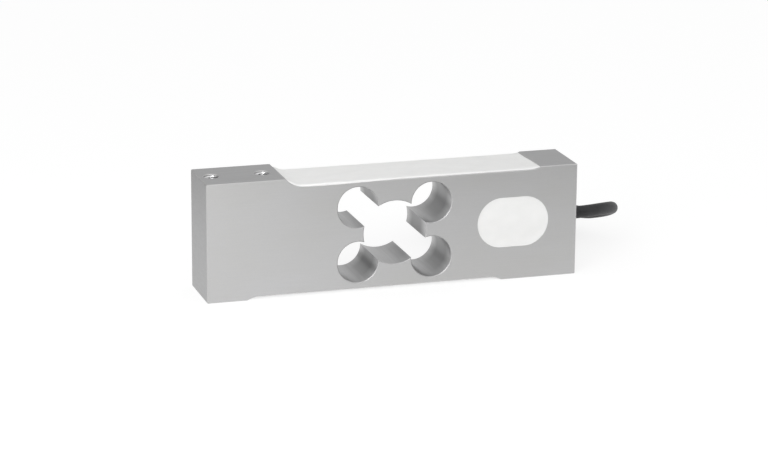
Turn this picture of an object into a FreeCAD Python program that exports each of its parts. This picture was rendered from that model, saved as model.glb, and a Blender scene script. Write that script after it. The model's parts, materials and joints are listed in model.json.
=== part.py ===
"""Single point load cell: a machined aluminium bar with a five-hole opening, four bonded strain
gauges under white sealing compound, a potted wiring pocket and a four-core screened cable.

Frame: millimetres, X along the bar towards the cable, Y across it towards the back, Z up.
The origin is the middle of the bar's footprint, in the plane of its two feet.
"""
import FreeCAD
import Part
import math
import os
from FreeCAD import Vector

os.makedirs("parts", exist_ok=True)

# ---------------------------------------------------------------- driving dimensions (mm)
# Bar
BAR_LENGTH = 150.0
BAR_WIDTH = 25.0
BAR_HEIGHT = 47.0            # feet to the load pad's face
FIXED_PAD_DROP = 2.0         # the pad at the cable end lies this far below the load pad
TOP_RECESS = 3.0             # gauge floor below the load pad
BASE_RECESS = 1.4            # lower gauge floor above the feet
LOAD_PAD_LENGTH = 31.3
FIXED_PAD_LENGTH = 15.5
LOAD_FOOT_LENGTH = 16.0
FIXED_FOOT_LENGTH = 31.0
CUTTER_RADIUS = 8.0          # round left by the cutter at each end of the two recesses
EDGE_CHAMFER = 0.3

# Five-hole opening
TOP_WEB = 2.05               # metal left above each upper hole
BASE_WEB = 2.25              # metal left below each lower hole
CORNER_HOLE_RADIUS = 8.2
CORNER_HOLE_OFFSET = 14.9    # along X, from the middle of the bar
CENTRE_HOLE_RADIUS = 12.7

# Tapped holes
THREAD_RADIUS = 3.0          # M6
THREAD_MOUTH_RADIUS = 3.35
THREAD_PITCH_X = 20.0
THREAD_END_DISTANCE = 5.0
LOAD_THREAD_DEPTH = 15.0
FIXED_THREAD_DEPTH = 10.0
DRILL_POINT_ANGLE = 118.0

# Wiring pocket, cable bore and wiring holes
POCKET_LENGTH = 29.4
POCKET_HEIGHT = 20.2
POCKET_DEPTH = 17.0
POCKET_FROM_END = 26.5       # pocket's middle to the bar's cable end
POCKET_BELOW_MIDDLE = 0.2    # pocket's middle below the bar's mid height
CABLE_BELOW_POCKET = 1.9     # cable's axis below the pocket's middle
CABLE_DIAMETER = 5.0
CABLE_CLEARANCE = 0.4        # all round the jacket in its bore
SEAL_RECESS = 2.2            # the adhesive stops this far inside the bore's mouth
JACKET_SHORT_OF_POCKET = 0.8
WIRING_HOLE_RADIUS = 1.5
WIRING_HOLE_INSET = 4.2      # from the pocket's end nearest the opening

# Sealing compound
COATING_THICKNESS = 0.6
COATING_INSET = 0.05         # behind the chamfer of the bar's long edges
COATING_BELOW_PAD = 0.25     # stops this far short of each pad's edge
POTTING_INSET = 0.05         # behind the bar's side

# Strain gauges
GAUGE_LENGTH = 9.0
GAUGE_WIDTH = 6.0
BACKING_THICKNESS = 0.08
FOIL_THICKNESS = 0.03
GRID_LENGTH = 5.0
GRID_LINES = 8
GRID_LINE_WIDTH = 0.2
GRID_PITCH = 0.4
TAB_SIZE = 1.2
TERMINAL_LENGTH = 3.6
TERMINAL_WIDTH = 5.0
TERMINAL_THICKNESS = 0.12
TERMINAL_GAP = 1.0           # from the gauge's backing
TERMINAL_PAD_OFFSET = 1.3    # across the bar

# Wires and solder
LEAD_RADIUS = 0.12
LEAD_BEND = 0.8
LEAD_LIFT = 0.04             # above the strip's copper
LEAD_BYPASS = 4.3            # the far gauge's leads pass the near gauge this far off the middle
LEAD_PITCH = 0.62            # between leads in the wiring hole
SOLDER_RADIUS = 0.5
SOLDER_HEIGHT = 0.3
FLOOR_SOLDER_RISE = 0.48     # top of the solder above the gauge floor

# Compensation board
BOARD_HEIGHT = 14.0
BOARD_THICKNESS = 1.0
BOARD_MARGIN = 1.0           # beyond the lead pads
BOARD_CABLE_GAP = 6.2        # from the pocket's cable end
COPPER_THICKNESS = 0.06
LEAD_PAD_PITCH = 1.6
CORE_PAD_SETBACK = 2.6       # core pads from the board's cable end
CORE_SOLDER_RADIUS = 0.75
CHIP_LENGTH = 3.2
CHIP_HEIGHT = 1.6
CHIP_THICKNESS = 0.6
CHIP_PITCH = 3.6

# Cable cores
CORE_RADIUS = 0.6
CORE_OFFSET = 0.8            # from the cable's axis, along Y and Z
DRAIN_RADIUS = 0.3
CORE_BEND = 1.6

# Stripped end: start beside the sleeve's axis (outward, up), then how far outward and up it ends,
# and its length
END_CORES = {
    "red": ((-1, 1), -0.95, 1.05, 24.0),
    "black": ((1, 1), 1.5, 1.0, 23.0),
    "green": ((1, -1), 0.2, 0.0, 20.0),
    "white": ((-1, -1), -2.05, 0.0, 22.0),
}
END_DRAIN = ((0, 0), 0.15, 2.45, 14.0)

# Coil of the cable's spare length, its tie and its bare end
COIL_CENTRE_BEYOND_END = -9.7
COIL_CENTRE_Y = 48.5
COIL_INNER_RADIUS = 23.0     # axis of the inner turns
COIL_ENTRY_ANGLE = 26.0
COIL_TOP_START = 165.0       # the last turn starts on top here
COIL_TOP_END = 422.0
TIE_THICKNESS = 0.8
TIE_WIDTH = 2.6
TIE_CLEARANCE = 0.1
TIE_ANGLE = 250.0
TIE_HEAD = (5.0, 4.4, 3.6)   # across the cable, along it, high
SLEEVE_RADIUS = 2.9
SLEEVE_LENGTH = 14.0

# ---------------------------------------------------------------- places worked out from them
half_length = BAR_LENGTH / 2
half_width = BAR_WIDTH / 2
fixed_pad_z = BAR_HEIGHT - FIXED_PAD_DROP
top_floor_z = BAR_HEIGHT - TOP_RECESS
upper_hole_z = top_floor_z - TOP_WEB - CORNER_HOLE_RADIUS
lower_hole_z = BASE_RECESS + BASE_WEB + CORNER_HOLE_RADIUS
centre_hole_z = (upper_hole_z + lower_hole_z) / 2

pocket_x = half_length - POCKET_FROM_END
pocket_z = BAR_HEIGHT / 2 - POCKET_BELOW_MIDDLE
pocket_floor_y = -half_width + POCKET_DEPTH
pocket_left = pocket_x - POCKET_LENGTH / 2
pocket_right = pocket_x + POCKET_LENGTH / 2
wiring_x = pocket_left + WIRING_HOLE_INSET
cable_radius = CABLE_DIAMETER / 2
cable_z = pocket_z - CABLE_BELOW_POCKET
bore_radius = cable_radius + CABLE_CLEARANCE
jacket_start = pocket_right + JACKET_SHORT_OF_POCKET

board_left = wiring_x - BOARD_MARGIN
board_right = pocket_right - BOARD_CABLE_GAP
board_front = pocket_floor_y - BOARD_THICKNESS
copper_front = board_front - COPPER_THICKNESS
solder_front = copper_front - SOLDER_HEIGHT
core_pad_x = board_right - CORE_PAD_SETBACK

coil_x = half_length + COIL_CENTRE_BEYOND_END
coil_outer_radius = COIL_INNER_RADIUS + CABLE_DIAMETER
coil_z = [cable_radius + TIE_CLEARANCE + TIE_THICKNESS + CABLE_DIAMETER * layer for layer in range(3)]

# Points of the free run: x from the bar's cable end, y from its middle plane, z above the feet
CABLE_ROUTE = [
    (-11.0, 0.0, 21.4),
    (5.6, 0.0, 21.4),
    (20.5, 7.7, 20.1),
    (28.6, 19.3, 17.0),
    (29.7, 32.5, 12.4),
    (23.8, 44.5, 8.8),
]


# ---------------------------------------------------------------- helpers
def box(x_range, y_range, z_range):
    """Block between two corners given as ranges."""
    size = [b - a for a, b in (x_range, y_range, z_range)]
    return Part.makeBox(*size, Vector(x_range[0], y_range[0], z_range[0]))


def centred_box(centre, size):
    corner = Vector(*[c - s / 2 for c, s in zip(centre, size)])
    return Part.makeBox(*size, corner)


def fuse(shapes):
    """One solid from several that overlap or share faces."""
    first, *rest = shapes
    return first.multiFuse(rest).removeSplitter() if rest else first


def group(shapes):
    """Separate solids kept in one node."""
    return Part.makeCompound(shapes)


def mirrored_z(shape, z):
    return shape.mirror(Vector(0, 0, z), Vector(0, 0, 1))


def bent_wire(points, radius_at):
    """Straight runs joined by tangent arcs; radius_at(run, next_run, half_turn) gives each arc."""
    points = [Vector(*p) for p in points]
    edges = []
    start = points[0]
    for before, corner, after in zip(points, points[1:], points[2:]):
        incoming = (corner - before).normalize()
        outgoing = (after - corner).normalize()
        half_turn = incoming.getAngle(outgoing) / 2
        run, next_run = (corner - before).Length, (after - corner).Length
        radius = radius_at(run, next_run, half_turn)
        setback = radius * math.tan(half_turn)
        arc_start = corner - incoming * setback
        arc_end = corner + outgoing * setback
        inward = (outgoing - incoming).normalize()
        arc_middle = corner + inward * (radius / math.cos(half_turn) - radius)
        if (arc_start - start).Length > 1e-6:
            edges.append(Part.LineSegment(start, arc_start).toShape())
        edges.append(Part.Arc(arc_start, arc_middle, arc_end).toShape())
        start = arc_end
    edges.append(Part.LineSegment(start, points[-1]).toShape())
    return Part.Wire(edges)


def round_bar(path, radius):
    """Solid round bar along a smooth wire."""
    edge = path.OrderedEdges[0]
    start = edge.valueAt(edge.FirstParameter)
    direction = edge.tangentAt(edge.FirstParameter)
    section = Part.Wire(Part.makeCircle(radius, start, direction))
    return path.makePipeShell([section], True, True)


def thin_wire(points, radius, bend):
    return round_bar(bent_wire(points, lambda run, next_run, half_turn: bend), radius)


def obround(length, height, y_start, y_end, x, z):
    """Slot-shaped block with round ends, along Y."""
    radius = height / 2
    reach = length / 2 - radius
    depth = y_end - y_start
    ends = [
        Part.makeCylinder(radius, depth, Vector(x + side * reach, y_start, z), Vector(0, 1, 0))
        for side in (-1, 1)
    ]
    middle = box((x - reach, x + reach), (y_start, y_end), (z - radius, z + radius))
    return fuse([middle] + ends)


# ---------------------------------------------------------------- the bar
def ramp_run(step, radius=CUTTER_RADIUS):
    """Length along X of the round that the cutter leaves up a step."""
    return math.sqrt(radius ** 2 - (radius - step) ** 2)


def ramp_point(floor_x, floor_z, height, toward, up, radius):
    """Point of the round: height above the floor, on the side that toward (-1 or 1) gives."""
    depth = CUTTER_RADIUS - height
    reach = math.sqrt(radius ** 2 - depth ** 2)
    return Vector(floor_x + toward * reach, 0, floor_z + up * height)


def ramp_arc(start, end, floor_x, floor_z, up, radius):
    """Arc of the round between two of its points."""
    centre = Vector(floor_x, 0, floor_z + up * CUTTER_RADIUS)
    middle = ((start - centre).normalize() + (end - centre).normalize()).normalize()
    return Part.Arc(start, centre + middle * radius, end).toShape()


def bar_outline():
    """Side profile of the bar, with both recesses."""
    left, right = -half_length, half_length
    heel = Vector(left + LOAD_FOOT_LENGTH, 0, 0)
    foot = Vector(right - FIXED_FOOT_LENGTH, 0, 0)
    base_left_x = heel.x + ramp_run(BASE_RECESS)
    base_right_x = foot.x - ramp_run(BASE_RECESS)
    base_left = Vector(base_left_x, 0, BASE_RECESS)
    base_right = Vector(base_right_x, 0, BASE_RECESS)
    fixed_edge = Vector(right - FIXED_PAD_LENGTH, 0, fixed_pad_z)
    load_edge = Vector(left + LOAD_PAD_LENGTH, 0, BAR_HEIGHT)
    top_right_x = fixed_edge.x - ramp_run(fixed_pad_z - top_floor_z)
    top_left_x = load_edge.x + ramp_run(TOP_RECESS)
    top_right = Vector(top_right_x, 0, top_floor_z)
    top_left = Vector(top_left_x, 0, top_floor_z)
    corners = [Vector(left, 0, 0), Vector(right, 0, 0), Vector(right, 0, fixed_pad_z),
               Vector(left, 0, BAR_HEIGHT)]

    def line(a, b):
        return Part.LineSegment(a, b).toShape()

    return Part.Wire([
        line(corners[0], heel),
        ramp_arc(heel, base_left, base_left_x, BASE_RECESS, -1, CUTTER_RADIUS),
        line(base_left, base_right),
        ramp_arc(base_right, foot, base_right_x, BASE_RECESS, -1, CUTTER_RADIUS),
        line(foot, corners[1]),
        line(corners[1], corners[2]),
        line(corners[2], fixed_edge),
        ramp_arc(fixed_edge, top_right, top_right_x, top_floor_z, 1, CUTTER_RADIUS),
        line(top_right, top_left),
        ramp_arc(top_left, load_edge, top_left_x, top_floor_z, 1, CUTTER_RADIUS),
        line(load_edge, corners[3]),
        line(corners[3], corners[0]),
    ])


def on_outer_edge(edge):
    """True for an edge of the bar's sides or of its two ends."""
    bounds = edge.BoundBox
    on_side = bounds.YLength < 1e-6
    at_end = bounds.XLength < 1e-6 and abs(abs(bounds.XMin) - half_length) < 1e-6
    return on_side or at_end


def through_hole(x, z, radius):
    """Cutter for a hole through the bar, with a small chamfer at both faces."""
    profile = [
        (0, -half_width), (radius + EDGE_CHAMFER, -half_width), (radius, -half_width + EDGE_CHAMFER),
        (radius, half_width - EDGE_CHAMFER), (radius + EDGE_CHAMFER, half_width), (0, half_width),
    ]
    points = [Vector(x + r, y, z) for r, y in profile]
    face = Part.Face(Part.makePolygon(points + points[:1]))
    return face.revolve(Vector(x, 0, z), Vector(0, 1, 0), 360)


def five_hole_opening():
    holes = [through_hole(0, centre_hole_z, CENTRE_HOLE_RADIUS)]
    for x in (-CORNER_HOLE_OFFSET, CORNER_HOLE_OFFSET):
        for z in (lower_hole_z, upper_hole_z):
            holes.append(through_hole(x, z, CORNER_HOLE_RADIUS))
    return fuse(holes)


def tapped_hole(x, mouth_z, inward, depth):
    """Cutter for a blind tapped hole with a chamfered mouth and a drill point."""
    mouth = THREAD_MOUTH_RADIUS - THREAD_RADIUS
    point = THREAD_RADIUS / math.tan(math.radians(DRILL_POINT_ANGLE / 2))
    profile = [
        (0, 0), (THREAD_MOUTH_RADIUS, 0), (THREAD_RADIUS, mouth), (THREAD_RADIUS, depth),
        (0, depth + point),
    ]
    points = [Vector(x + r, 0, mouth_z + inward * d) for r, d in profile]
    face = Part.Face(Part.makePolygon(points + points[:1]))
    return face.revolve(Vector(x, 0, mouth_z), Vector(0, 0, 1), 360)


def thread_centres(side):
    """X of the two holes at the load end (side -1) or the fixed end (side 1)."""
    outer = half_length - THREAD_END_DISTANCE
    return [side * outer, side * (outer - THREAD_PITCH_X)]


def wiring_pocket():
    return obround(POCKET_LENGTH, POCKET_HEIGHT, -half_width, pocket_floor_y, pocket_x, pocket_z)


def wiring_hole(z_start, z_end):
    return Part.makeCylinder(WIRING_HOLE_RADIUS, z_end - z_start, Vector(wiring_x, 0, z_start))


def cable_bore():
    return Part.makeCylinder(
        bore_radius, half_length - pocket_x, Vector(pocket_x, 0, cable_z), Vector(1, 0, 0))


def spring_element():
    profile = Part.Face(bar_outline())
    profile.translate(Vector(0, -half_width, 0))
    bar = profile.extrude(Vector(0, BAR_WIDTH, 0))
    bar = bar.makeChamfer(EDGE_CHAMFER, [edge for edge in bar.Edges if on_outer_edge(edge)])
    cutters = [five_hole_opening(), wiring_pocket(), cable_bore()]
    cutters += [wiring_hole(BASE_RECESS, pocket_z), wiring_hole(pocket_z, top_floor_z)]
    cutters += [tapped_hole(x, BAR_HEIGHT, -1, LOAD_THREAD_DEPTH) for x in thread_centres(-1)]
    cutters += [tapped_hole(x, 0, 1, FIXED_THREAD_DEPTH) for x in thread_centres(1)]
    for cutter in cutters:
        bar = bar.cut(cutter)
    return bar


# ---------------------------------------------------------------- gauges
def gauge_backing(x):
    """Polyimide carrier of one gauge, on the upper floor."""
    centre = (x, 0, top_floor_z + BACKING_THICKNESS / 2)
    return centred_box(centre, (GAUGE_LENGTH, GAUGE_WIDTH, BACKING_THICKNESS))


def grid_line_y(index):
    return (index - (GRID_LINES - 1) / 2) * GRID_PITCH


def grid_centre(x):
    """The grid lies towards one end of its backing, to leave room for the tabs."""
    return x - (GAUGE_LENGTH - GRID_LENGTH) / 2 + GRID_LINE_WIDTH * 2


def tab_centre(x, side):
    return grid_centre(x) + (GRID_LENGTH + TAB_SIZE) / 2, side * grid_line_y(GRID_LINES - 1)


def gauge_foil(x):
    """Meander of one gauge, with a solder tab at each end of the grid."""
    z = top_floor_z + BACKING_THICKNESS + FOIL_THICKNESS / 2
    grid_x = grid_centre(x)
    lines = [
        centred_box((grid_x, grid_line_y(i), z), (GRID_LENGTH, GRID_LINE_WIDTH, FOIL_THICKNESS))
        for i in range(GRID_LINES)
    ]
    turns = []
    for i in range(GRID_LINES - 1):
        side = -1 if i % 2 == 0 else 1
        turn_x = grid_x + side * (GRID_LENGTH - GRID_LINE_WIDTH) / 2
        turn_y = (grid_line_y(i) + grid_line_y(i + 1)) / 2
        size = (GRID_LINE_WIDTH, GRID_PITCH + GRID_LINE_WIDTH, FOIL_THICKNESS)
        turns.append(centred_box((turn_x, turn_y, z), size))
    tabs = [
        centred_box(tab_centre(x, side) + (z,), (TAB_SIZE, TAB_SIZE, FOIL_THICKNESS))
        for side in (-1, 1)
    ]
    return fuse(lines + turns + tabs)


def terminal_x(x):
    return x + GAUGE_LENGTH / 2 + TERMINAL_GAP + TERMINAL_LENGTH / 2


def terminal_strip(x):
    """Bonded strip beside a gauge, where fine jumpers meet the leads."""
    base = centred_box((terminal_x(x), 0, top_floor_z + TERMINAL_THICKNESS / 2),
                       (TERMINAL_LENGTH, TERMINAL_WIDTH, TERMINAL_THICKNESS))
    pads = [
        centred_box((terminal_x(x), side * TERMINAL_PAD_OFFSET,
                     top_floor_z + TERMINAL_THICKNESS + COPPER_THICKNESS / 2),
                    (TERMINAL_LENGTH - 2 * GRID_PITCH, 2 * SOLDER_RADIUS + GRID_PITCH, COPPER_THICKNESS))
        for side in (-1, 1)
    ]
    return fuse([base] + pads)


def solder_dot(x, y, z):
    return Part.makeCylinder(SOLDER_RADIUS, top_floor_z + FLOOR_SOLDER_RISE - z, Vector(x, y, z))


def floor_solder():
    """Solder on the gauge tabs and the terminal strips of one floor."""
    tab_z = top_floor_z + BACKING_THICKNESS + FOIL_THICKNESS
    strip_z = top_floor_z + TERMINAL_THICKNESS + COPPER_THICKNESS
    dots = []
    for x in (-CORNER_HOLE_OFFSET, CORNER_HOLE_OFFSET):
        for side in (-1, 1):
            tab_x, tab_y = tab_centre(x, side)
            dots.append(solder_dot(tab_x, tab_y, tab_z))
            dots.append(solder_dot(terminal_x(x), side * TERMINAL_PAD_OFFSET, strip_z))
    return dots


def lead_pad_z(rank, up):
    """Height of a lead's pad: rank 0 is nearest the wiring hole that the lead comes from."""
    end = board_z_range()[1 if up > 0 else 0]
    return end - up * (SOLDER_RADIUS + LEAD_PAD_PITCH * (rank + 0.25))


def board_z_range():
    return pocket_z - BOARD_HEIGHT / 2, pocket_z + BOARD_HEIGHT / 2


def floor_leads(floor_z, up):
    """Jumpers and leads of one floor; up is 1 on the upper floor and -1 on the lower one."""
    strip_top = TERMINAL_THICKNESS + COPPER_THICKNESS
    wire_z = floor_z + up * (strip_top + LEAD_LIFT + LEAD_RADIUS)
    wires = []
    for gauge_x, rank in ((CORNER_HOLE_OFFSET, 0), (-CORNER_HOLE_OFFSET, 1)):
        for side in (-1, 1):
            strip_x, strip_y = terminal_x(gauge_x), side * TERMINAL_PAD_OFFSET
            tab_x, tab_y = tab_centre(gauge_x, side)
            along = Vector(strip_x - tab_x, strip_y - tab_y, 0)
            wires.append(Part.makeCylinder(LEAD_RADIUS, along.Length, Vector(tab_x, tab_y, wire_z), along))
            wires.append(lead(gauge_x, side, rank, wire_z, up))
    return wires


def lead(gauge_x, side, rank, wire_z, up):
    """Enamelled wire from a terminal strip, through its wiring hole, to the board."""
    strip_x = terminal_x(gauge_x)
    strip_y = side * TERMINAL_PAD_OFFSET
    slot = side * (rank + 0.5)
    hole_y = slot * LEAD_PITCH
    pad_z = lead_pad_z(round(1.5 - slot), up)
    past_end = TERMINAL_LENGTH / 2 + LEAD_BEND
    points = [(strip_x, strip_y, wire_z), (strip_x + past_end, strip_y, wire_z)]
    if rank == 1:
        before_gauge = CORNER_HOLE_OFFSET - GAUGE_LENGTH / 2 - TERMINAL_LENGTH
        after_strip = terminal_x(CORNER_HOLE_OFFSET) + past_end
        points.append((before_gauge, side * LEAD_BYPASS, wire_z))
        points.append((after_strip, side * LEAD_BYPASS, wire_z))
    points.append((wiring_x - WIRING_HOLE_RADIUS - LEAD_BEND, hole_y, wire_z))
    points.append((wiring_x, hole_y, wire_z))
    points.append((wiring_x, hole_y, pad_z))
    points.append((wiring_x, solder_front, pad_z))
    return thin_wire(points, LEAD_RADIUS, LEAD_BEND)


# ---------------------------------------------------------------- board and cable cores
def compensation_board():
    return box((board_left, board_right), (board_front, pocket_floor_y), board_z_range())


def core_layout():
    """Name, offset on the cable's axis (y, z) and pad height of each core."""
    return [
        ("red", -1, 1, cable_z + 6.0),
        ("black", 1, 1, cable_z + 3.0),
        ("green", 1, -1, cable_z - 2.2),
        ("white", -1, -1, cable_z - 4.3),
    ]


def lead_pad_heights():
    return [lead_pad_z(rank, up) for up in (1, -1) for rank in range(4)]


def board_copper():
    """Pads of the board: one for each gauge lead, core and drain."""
    pads = []
    for z in lead_pad_heights():
        size = (2.4 * SOLDER_RADIUS, COPPER_THICKNESS, LEAD_PAD_PITCH - 0.4)
        pads.append(centred_box((wiring_x, board_front - COPPER_THICKNESS / 2, z), size))
    for z in [row[3] for row in core_layout()] + [cable_z]:
        size = (3.2 * CORE_SOLDER_RADIUS, COPPER_THICKNESS, 2.2 * CORE_SOLDER_RADIUS)
        pads.append(centred_box((core_pad_x, board_front - COPPER_THICKNESS / 2, z), size))
    return pads


def board_solder():
    back = Vector(0, -1, 0)
    joints = [
        Part.makeCylinder(SOLDER_RADIUS, SOLDER_HEIGHT, Vector(wiring_x, copper_front, z), back)
        for z in lead_pad_heights()
    ]
    for z in [row[3] for row in core_layout()] + [cable_z]:
        start = Vector(core_pad_x, copper_front, z)
        joints.append(Part.makeCylinder(CORE_SOLDER_RADIUS, SOLDER_HEIGHT, start, back))
    return joints


def chip_resistor(rank):
    """Trimming resistor, flat on the board between the two rows of pads."""
    size = (CHIP_LENGTH, CHIP_THICKNESS, CHIP_HEIGHT)
    z = pocket_z + (1 - rank) * CHIP_PITCH
    chip = centred_box(((wiring_x + core_pad_x) / 2, board_front - CHIP_THICKNESS / 2, z), size)
    return chip.makeChamfer(CHIP_THICKNESS / 8, chip.Edges)


def core_in_pocket(y_side, z_side, pad_z):
    y, z = y_side * CORE_OFFSET, cable_z + z_side * CORE_OFFSET
    turn_x = pocket_right - 2 * CORE_BEND
    points = [(jacket_start, y, z), (turn_x, y, z), (core_pad_x, y, pad_z),
              (core_pad_x, solder_front, pad_z)]
    reach = solder_front - y
    return thin_wire(points, CORE_RADIUS, min(CORE_BEND, reach * 0.8))


def drain_in_pocket():
    points = [(jacket_start, 0, cable_z), (core_pad_x, 0, cable_z),
              (core_pad_x, solder_front, cable_z)]
    return thin_wire(points, DRAIN_RADIUS, CORE_BEND)


def bore_seal(inside):
    """Adhesive that fills the bore round the jacket."""
    plug = Part.makeCylinder(bore_radius, half_length - SEAL_RECESS - pocket_right,
                             Vector(pocket_right, 0, cable_z), Vector(1, 0, 0))
    jacket = Part.makeCylinder(cable_radius, half_length - jacket_start + 1,
                               Vector(jacket_start, 0, cable_z), Vector(1, 0, 0))
    plug = plug.cut(wiring_pocket()).cut(jacket)
    for piece in inside:
        plug = plug.cut(piece)
    return plug


# ---------------------------------------------------------------- sealing compound
def coating_outline(floor_z, up, left_step, right_step, left_edge, right_edge):
    """Section of the compound on one floor: it follows the floor and climbs both rounds."""
    left_x = left_edge + ramp_run(left_step)
    right_x = right_edge - ramp_run(right_step)
    skin = CUTTER_RADIUS - COATING_THICKNESS
    left_low = ramp_point(left_x, floor_z, left_step - COATING_BELOW_PAD, -1, up, CUTTER_RADIUS)
    right_low = ramp_point(right_x, floor_z, right_step - COATING_BELOW_PAD, 1, up, CUTTER_RADIUS)
    left_high = ramp_point(left_x, floor_z, left_step - COATING_BELOW_PAD, -1, up, skin)
    right_high = ramp_point(right_x, floor_z, right_step - COATING_BELOW_PAD, 1, up, skin)
    floor_left, floor_right = Vector(left_x, 0, floor_z), Vector(right_x, 0, floor_z)
    skin_z = floor_z + up * COATING_THICKNESS
    skin_left, skin_right = Vector(left_x, 0, skin_z), Vector(right_x, 0, skin_z)
    return Part.Wire([
        ramp_arc(left_low, floor_left, left_x, floor_z, up, CUTTER_RADIUS),
        Part.LineSegment(floor_left, floor_right).toShape(),
        ramp_arc(floor_right, right_low, right_x, floor_z, up, CUTTER_RADIUS),
        Part.LineSegment(right_low, right_high).toShape(),
        ramp_arc(right_high, skin_right, right_x, floor_z, up, skin),
        Part.LineSegment(skin_right, skin_left).toShape(),
        ramp_arc(skin_left, left_high, left_x, floor_z, up, skin),
        Part.LineSegment(left_high, left_low).toShape(),
    ])


def coating(floor_z, up, left_step, right_step, left_edge, right_edge, inside):
    section = Part.Face(coating_outline(floor_z, up, left_step, right_step, left_edge, right_edge))
    half = half_width - EDGE_CHAMFER - COATING_INSET
    section.translate(Vector(0, -half, 0))
    layer = section.extrude(Vector(0, 2 * half, 0))
    for piece in inside:
        layer = layer.cut(piece)
    return layer


def pocket_potting(inside):
    """Compound that fills the pocket and both wiring holes, round everything in them."""
    fill = obround(POCKET_LENGTH, POCKET_HEIGHT, -half_width + POTTING_INSET, pocket_floor_y,
                   pocket_x, pocket_z)
    fill = fuse([fill, wiring_hole(BASE_RECESS, pocket_z), wiring_hole(pocket_z, top_floor_z)])
    for piece in inside:
        fill = fill.cut(piece)
    return fill


# ---------------------------------------------------------------- the free cable
def coil_point(radius, angle, z):
    turn = math.radians(angle)
    return Vector(coil_x + radius * math.cos(turn), COIL_CENTRE_Y + radius * math.sin(turn), z)


def cable_points():
    return [Vector(half_length + x, y, z) for x, y, z in CABLE_ROUTE]


def cable_run():
    """The jacket from its bore to the coil; prints the radii and checks the volume."""
    radii = []

    def large_arc(run, next_run, half_turn):
        radii.append(0.45 * min(run, next_run) / math.tan(half_turn))
        return radii[-1]

    path = bent_wire(cable_points(), large_arc)
    tube = round_bar(path, cable_radius)
    expected = math.pi * cable_radius ** 2 * path.Length
    print("cable run: length %.1f mm, radii %s, volume ratio %.4f"
          % (path.Length, [round(r, 1) for r in radii], tube.Volume / expected))
    return tube


def coil_section():
    """Outline of the stacked turns: two by two, and one more on the inner side."""
    r = cable_radius
    inner, outer = COIL_INNER_RADIUS, coil_outer_radius
    low, middle, high = coil_z
    slant = r * math.sqrt(0.5)

    def point(radius, z):
        return coil_point(radius, 0, z)

    def round_corner(start, centre_radius, centre_z, dr, dz, end):
        return Part.Arc(start, point(centre_radius + dr, centre_z + dz), end).toShape()

    corners = [point(inner, low - r), point(outer, low - r), point(outer + r, low),
               point(outer + r, middle), point(outer, middle + r), point(inner + r, middle + r),
               point(inner + r, high), point(inner - r, high), point(inner - r, low)]
    return Part.Wire([
        Part.LineSegment(corners[0], corners[1]).toShape(),
        round_corner(corners[1], outer, low, slant, -slant, corners[2]),
        Part.LineSegment(corners[2], corners[3]).toShape(),
        round_corner(corners[3], outer, middle, slant, slant, corners[4]),
        Part.LineSegment(corners[4], corners[5]).toShape(),
        Part.LineSegment(corners[5], corners[6]).toShape(),
        round_corner(corners[6], inner, high, 0, r, corners[7]),
        Part.LineSegment(corners[7], corners[8]).toShape(),
        round_corner(corners[8], inner, low, -slant, -slant, corners[0]),
    ])


def arc_bar(centre_radius, z, start_angle, end_angle, radius):
    """Round bar along the coil's circle."""
    middle = (start_angle + end_angle) / 2
    arc = Part.Arc(*[coil_point(centre_radius, a, z) for a in (start_angle, middle, end_angle)])
    return round_bar(Part.Wire(arc.toShape()), radius)


def cable_coil():
    """Outer shape of the wound spare length, with the short stub that meets the run."""
    ring = Part.Face(coil_section()).revolve(
        Vector(coil_x, COIL_CENTRE_Y, 0), Vector(0, 0, 1), 360)
    snug = CABLE_DIAMETER / 25
    top_turn = arc_bar(coil_outer_radius - snug, coil_z[2] - snug, COIL_TOP_START, COIL_TOP_END,
                       cable_radius)
    before, last = cable_points()[-2:]
    tangent_point = coil_point(coil_outer_radius, COIL_ENTRY_ANGLE, coil_z[1])
    stub = Part.makeCylinder(cable_radius, (tangent_point - last).Length, last, last - before)
    return fuse([ring, top_turn, stub])


def tie_outline(offset):
    """Line round the turns' centres, moved outward by offset, in a plane through the axis."""
    inner, outer = COIL_INNER_RADIUS, coil_outer_radius
    centres = [(inner, coil_z[0]), (outer, coil_z[0]), (outer, coil_z[2]), (inner, coil_z[2])]
    points = [coil_point(radius, TIE_ANGLE, z) for radius, z in centres]
    return Part.makePolygon(points + points[:1]).makeOffset2D(offset)


def coil_tie():
    """Strap round the coil's section, with its lock on top."""
    inner_offset = cable_radius + TIE_CLEARANCE
    outer_face = Part.Face(tie_outline(inner_offset + TIE_THICKNESS))
    inner_face = Part.Face(tie_outline(inner_offset))
    along = coil_point(1, TIE_ANGLE + 90, 0) - coil_point(0, 0, 0)
    outer_block = outer_face.extrude(along * TIE_WIDTH)
    inner_block = inner_face.extrude(along * TIE_WIDTH)
    strap = outer_block.cut(inner_block)
    strap.translate(along * (-TIE_WIDTH / 2))
    across, deep, high = TIE_HEAD
    head = Part.makeBox(across, deep, high, Vector(-across / 2, -deep / 2, 0))
    head = head.makeChamfer(TIE_THICKNESS / 2, head.Edges)
    head.rotate(Vector(0, 0, 0), Vector(0, 0, 1), TIE_ANGLE)
    middle_radius = COIL_INNER_RADIUS + cable_radius
    head_z = coil_z[2] + inner_offset
    head.translate(coil_point(middle_radius, TIE_ANGLE, head_z))
    return fuse([strap, head])


def sleeve_place():
    """Axis radius and height of the shrink sleeve, which sits in the corner of the turns."""
    gap = TIE_CLEARANCE / 2
    return (COIL_INNER_RADIUS + cable_radius + SLEEVE_RADIUS + gap,
            coil_z[1] + cable_radius + SLEEVE_RADIUS + gap)


def sleeve_end_angle():
    return COIL_TOP_END + math.degrees(SLEEVE_LENGTH / sleeve_place()[0])


def end_sleeve():
    radius, z = sleeve_place()
    return arc_bar(radius, z, COIL_TOP_END, sleeve_end_angle(), SLEEVE_RADIUS)


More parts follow.
